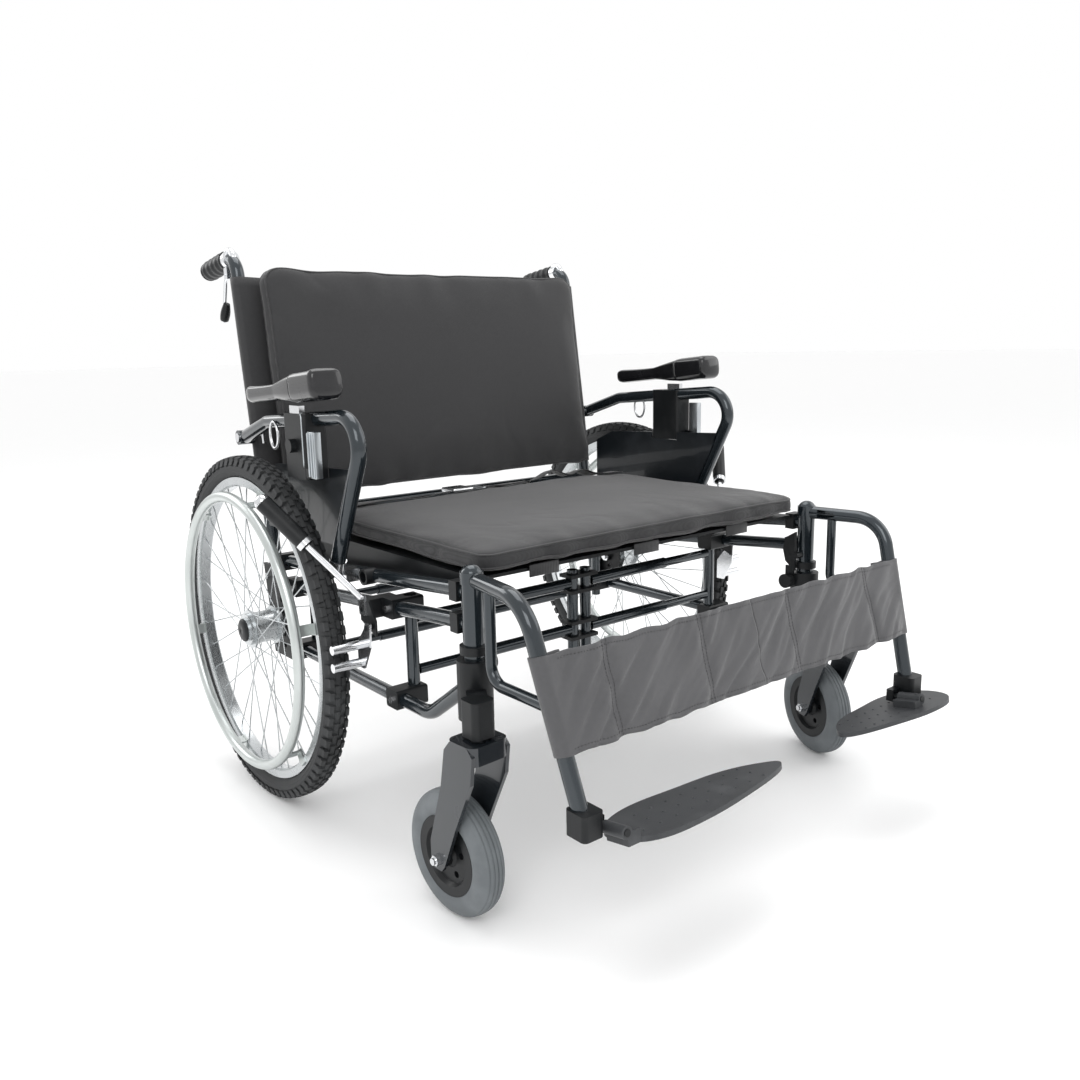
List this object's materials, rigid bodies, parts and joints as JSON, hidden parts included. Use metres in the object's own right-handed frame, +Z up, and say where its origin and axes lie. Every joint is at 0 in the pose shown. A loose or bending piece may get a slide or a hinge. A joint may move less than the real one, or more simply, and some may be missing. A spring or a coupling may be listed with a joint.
{
  "type": "manual wheelchair",
  "caption": "Wide manual wheelchair with spoked rear wheels, swivel casters, flip-back arms, swing-away leg rests, wheel locks and attendant brake levers.",
  "frame": {"origin": "On the floor, at the middle of the bounding box in X and Y.", "axes": "+Z up, the chair faces -Y, +X is the occupant's left."},
  "size_m": [1.059, 1.1474, 0.9651],
  "materials": {
    "frame_paint": "metallic gloss",
    "fork_paint": "gloss",
    "black_plastic": "satin",
    "panel_plastic": "satin",
    "gloss_pad": "gloss",
    "bright_steel": "bright",
    "rim_alloy": "bright",
    "handrim_alloy": "satin anodised",
    "tyre_rubber": "matte",
    "caster_rubber": "matte",
    "footplate_grey": "matte",
    "cushion_fabric": "woven nylon",
    "strap_fabric": "woven nylon",
    "webbing": "webbing"
  },
  "bodies": {
    "frame": {"front_posts": "frame_paint", "seat_rails": "frame_paint", "base_rails": "frame_paint", "truss_tubes": "frame_paint", "truss_posts": "frame_paint", "frame_clamps": "black_plastic", "frame_bolts": "bright_steel", "seat_base": "black_plastic", "seat_cushion": "cushion_fabric", "lap_belt": "webbing", "belt_buckle": "black_plastic", "back_canes": "frame_paint", "push_grips": "black_plastic", "brake_mounts": "bright_steel", "back_cushion": "cushion_fabric", "back_sling": "cushion_fabric", "back_bar": "frame_paint", "arm_fittings": "bright_steel", "axle_plates": "black_plastic", "axle_pins": "bright_steel", "caster_housings": "black_plastic", "lock_brackets": "black_plastic"},
    "wheel_r": {"rear_tyre_r": "tyre_rubber", "rear_wheel_r": "rim_alloy", "handrim_r": "handrim_alloy"},
    "arm_r": {"arm_tube_r": "frame_paint", "arm_box_r": "black_plastic", "side_panel_r": "panel_plastic"},
    "pad_r": {"arm_stem_r": "bright_steel", "arm_pad_r": "gloss_pad"},
    "legrest_r": {"hanger_r": "frame_paint", "calf_strap_r": "strap_fabric", "foot_clamp_r": "black_plastic"},
    "foot_r": {"footplate_r": "footplate_grey"},
    "caster_r": {"caster_fork_r": "fork_paint", "caster_bolt_r": "bright_steel"},
    "roller_r": {"caster_wheel_r": "black_plastic", "caster_tyre_r": "caster_rubber"},
    "brake_r": {"brake_lever_r": "bright_steel"},
    "lock_r": {"lock_lever_r": "bright_steel"},
    "shoe_r": {"lock_shoe_r": "bright_steel"},
    "wheel_l": {"rear_tyre_l": "tyre_rubber", "rear_wheel_l": "rim_alloy", "handrim_l": "handrim_alloy"},
    "arm_l": {"arm_tube_l": "frame_paint", "arm_box_l": "black_plastic", "side_panel_l": "panel_plastic"},
    "pad_l": {"arm_stem_l": "bright_steel", "arm_pad_l": "gloss_pad"},
    "legrest_l": {"hanger_l": "frame_paint", "calf_strap_l": "strap_fabric", "foot_clamp_l": "black_plastic"},
    "foot_l": {"footplate_l": "footplate_grey"},
    "caster_l": {"caster_fork_l": "fork_paint", "caster_bolt_l": "bright_steel"},
    "roller_l": {"caster_wheel_l": "black_plastic", "caster_tyre_l": "caster_rubber"},
    "brake_l": {"brake_lever_l": "bright_steel"},
    "lock_l": {"lock_lever_l": "bright_steel"},
    "shoe_l": {"lock_shoe_l": "bright_steel"}
  },
  "joints": [
    {"name": "wheel_spin_r", "type": "hinge", "parent": "frame", "child": "wheel_r", "pos_m": [-0.448, 0.26874, 0.305], "axis": [1, 0, 0], "continuous": true},
    {"name": "caster_swivel_r", "type": "hinge", "parent": "frame", "child": "caster_r", "pos_m": [-0.408, -0.34226, 0.277], "axis": [0, 0, 1], "continuous": true},
    {"name": "caster_spin_r", "type": "hinge", "parent": "caster_r", "child": "roller_r", "pos_m": [-0.41205, -0.2844, 0.0915], "axis": [0.9976, 0.0698, 0], "continuous": true},
    {"name": "legrest_swing_r", "type": "hinge", "parent": "frame", "child": "legrest_r", "pos_m": [-0.373, -0.28826, 0.472], "axis": [0, 0, -1], "range_deg": [0, 90]},
    {"name": "foot_flip_r", "type": "hinge", "parent": "legrest_r", "child": "foot_r", "pos_m": [-0.338, -0.50626, 0.192], "axis": [0, -0.9848, 0.1736], "range_deg": [0, 88], "deforming": ["calf_strap_r"]},
    {"name": "arm_flip_r", "type": "hinge", "parent": "frame", "child": "arm_r", "pos_m": [-0.412, 0.35317, 0.634], "axis": [-1, 0, 0], "range_deg": [0, 68]},
    {"name": "pad_height_r", "type": "slide", "parent": "arm_r", "child": "pad_r", "axis": [0, 0, 1], "range_m": [0, 0.03]},
    {"name": "lock_turn_r", "type": "hinge", "parent": "frame", "child": "lock_r", "pos_m": [-0.408, -0.05626, 0.397], "axis": [1, 0, 0], "range_deg": [0, 40]},
    {"name": "shoe_turn_r", "type": "hinge", "parent": "frame", "child": "shoe_r", "pos_m": [-0.408, -0.07426, 0.372], "axis": [1, 0, 0], "range_deg": [0, 6.8]},
    {"name": "brake_squeeze_r", "type": "hinge", "parent": "frame", "child": "brake_r", "pos_m": [-0.385, 0.4246, 0.92124], "axis": [1, 0, 0], "range_deg": [0, 20], "stiffness_Nm_per_rad": 0.4},
    {"name": "wheel_spin_l", "type": "hinge", "parent": "frame", "child": "wheel_l", "pos_m": [0.448, 0.26874, 0.305], "axis": [1, 0, 0], "continuous": true},
    {"name": "caster_swivel_l", "type": "hinge", "parent": "frame", "child": "caster_l", "pos_m": [0.408, -0.34226, 0.277], "axis": [0, 0, 1], "continuous": true},
    {"name": "caster_spin_l", "type": "hinge", "parent": "caster_l", "child": "roller_l", "pos_m": [0.42688, -0.28742, 0.0915], "axis": [0.9455, -0.3256, 0], "continuous": true},
    {"name": "legrest_swing_l", "type": "hinge", "parent": "frame", "child": "legrest_l", "pos_m": [0.373, -0.28826, 0.472], "axis": [0, 0, 1], "range_deg": [0, 90]},
    {"name": "foot_flip_l", "type": "hinge", "parent": "legrest_l", "child": "foot_l", "pos_m": [0.338, -0.50626, 0.192], "axis": [0, 0.9848, -0.1736], "range_deg": [0, 88], "deforming": ["calf_strap_l"]},
    {"name": "arm_flip_l", "type": "hinge", "parent": "frame", "child": "arm_l", "pos_m": [0.412, 0.35317, 0.634], "axis": [-1, 0, 0], "range_deg": [0, 68]},
    {"name": "pad_height_l", "type": "slide", "parent": "arm_l", "child": "pad_l", "axis": [0, 0, 1], "range_m": [0, 0.03]},
    {"name": "lock_turn_l", "type": "hinge", "parent": "frame", "child": "lock_l", "pos_m": [0.408, -0.05626, 0.397], "axis": [1, 0, 0], "range_deg": [0, 40]},
    {"name": "shoe_turn_l", "type": "hinge", "parent": "frame", "child": "shoe_l", "pos_m": [0.408, -0.07426, 0.372], "axis": [1, 0, 0], "range_deg": [0, 6.8]},
    {"name": "brake_squeeze_l", "type": "hinge", "parent": "frame", "child": "brake_l", "pos_m": [0.385, 0.4246, 0.92124], "axis": [1, 0, 0], "range_deg": [0, 20], "stiffness_Nm_per_rad": 0.4}
  ],
  "couplings": [
    {"joint": "shoe_turn_r", "follows": "lock_turn_r", "ratio": 0.17},
    {"joint": "shoe_turn_l", "follows": "lock_turn_l", "ratio": 0.17}
  ]
}
